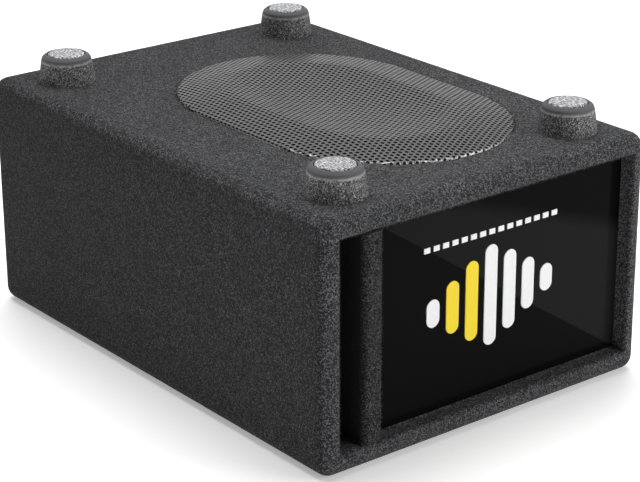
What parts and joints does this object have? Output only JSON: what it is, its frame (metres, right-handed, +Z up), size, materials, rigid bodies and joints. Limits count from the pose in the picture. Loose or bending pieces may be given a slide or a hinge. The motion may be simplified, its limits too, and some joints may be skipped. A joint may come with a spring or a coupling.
{
  "type": "powered car subwoofer",
  "caption": "Flat carpeted subwoofer box, shown feet up: oval driver under a perforated grille, four feet, a gloss front plate beside a port slot, and a recessed amplifier at the rear.",
  "frame": {"origin": "centre of the flat carpeted face that the box rests on, feet up", "axes": "+Z up through the feet and the driver, +Y along the box's length towards the amplifier, +X across its width; the port slot and the gloss plate face -Y"},
  "size_m": [0.26, 0.365, 0.1813],
  "materials": {
    "carpet": "needle-felt carpet, charcoal with light flecks",
    "fibreboard": "raw medium-density fibreboard",
    "gloss_black": "high-gloss black with a lighter diagonal facet",
    "emblem_print": "white and yellow raised print",
    "foot_plastic": "coarse speckled moulding",
    "felt": "light grey felt",
    "grille_steel": "satin grey perforated sheet",
    "black_steel": "black enamel",
    "zinc_steel": "zinc plated",
    "ferrite": "dark grey ferrite",
    "cone_paper": "pressed black paper pulp",
    "surround_rubber": "soft black rubber",
    "foam": "closed-cell foam gasket",
    "spider_cloth": "yellow treated cotton",
    "former": "thin foil tube",
    "copper": "enamelled copper wire",
    "phenolic": "brown laminate",
    "wire_jacket": "insulated wire",
    "wool": "white polyester wadding",
    "amp_black": "black powder coat",
    "sink_black": "black anodised extrusion",
    "black_plastic": "moulded black",
    "board_green": "green solder mask",
    "capacitor_sleeve": "dark blue sleeve",
    "nickel": "nickel plated",
    "fuse_red": "translucent red",
    "led_lens": "blue lens"
  },
  "bodies": {
    "box": {"driver_panel": "fibreboard", "driver_ring": "fibreboard", "base_panel": "fibreboard", "left_side_panel": "fibreboard", "right_side_panel": "fibreboard", "rear_panel": "fibreboard", "front_baffle": "fibreboard", "port_divider": "fibreboard", "carpet_wrap": "carpet", "base_carpet": "carpet", "rear_carpet": "carpet", "divider_carpet": "carpet", "front_plate": "gloss_black", "front_emblem": "emblem_print", "felt_pads": "felt", "foot_screws": "zinc_steel", "foot_front_left": "foot_plastic", "foot_front_right": "foot_plastic", "foot_rear_left": "foot_plastic", "foot_rear_right": "foot_plastic", "grille": "grille_steel", "basket_gasket": "foam", "woofer_basket": "black_steel", "woofer_screws": "zinc_steel", "top_plate": "zinc_steel", "magnet": "ferrite", "pole_yoke": "zinc_steel", "spider": "spider_cloth", "surround": "surround_rubber", "terminal_strip": "phenolic", "tinsel_leads": "copper", "speaker_wires": "wire_jacket", "damping_wool": "wool", "amp_gasket": "foam", "amp_plate": "amp_black", "amp_screws": "zinc_steel", "heat_sink": "sink_black", "amp_cover": "black_plastic", "circuit_board": "board_green", "capacitors": "capacitor_sleeve", "toroid_choke": "copper", "power_transistors": "black_plastic", "potentiometers": "black_plastic", "switch_bodies": "zinc_steel", "rca_sockets": "nickel", "high_level_socket": "black_plastic", "power_terminal_block": "black_plastic", "terminal_screws": "nickel", "fuse_holder": "black_plastic", "fuse": "fuse_red", "power_led": "led_lens"},
    "cone_assembly": {"cone": "cone_paper", "dust_cap": "cone_paper", "voice_coil_former": "former", "voice_coil_winding": "copper"},
    "gain_knob": {"gain_knob": "black_plastic"},
    "crossover_knob": {"crossover_knob": "black_plastic"},
    "bass_boost_knob": {"bass_boost_knob": "black_plastic"},
    "phase_slider": {"phase_slider": "black_plastic"},
    "input_slider": {"input_slider": "black_plastic"}
  },
  "joints": [
    {"name": "cone_travel", "type": "slide", "parent": "box", "child": "cone_assembly", "axis": [0, 0, 1], "range_m": [-0.005, 0.005], "stiffness_N_per_m": 1500, "deforming": ["surround", "spider", "tinsel_leads"]},
    {"name": "gain_knob_turn", "type": "hinge", "parent": "box", "child": "gain_knob", "pos_m": [0.014, 0.17, 0.122], "axis": [0, 1, 0], "range_deg": [-150, 150]},
    {"name": "crossover_knob_turn", "type": "hinge", "parent": "box", "child": "crossover_knob", "pos_m": [0.042, 0.17, 0.122], "axis": [0, 1, 0], "range_deg": [-150, 150]},
    {"name": "bass_boost_knob_turn", "type": "hinge", "parent": "box", "child": "bass_boost_knob", "pos_m": [0.07, 0.17, 0.122], "axis": [0, 1, 0], "range_deg": [-150, 150]},
    {"name": "phase_slider_shift", "type": "slide", "parent": "box", "child": "phase_slider", "axis": [1, 0, 0], "range_m": [0, 0.004]},
    {"name": "input_slider_shift", "type": "slide", "parent": "box", "child": "input_slider", "axis": [1, 0, 0], "range_m": [0, 0.004]}
  ]
}
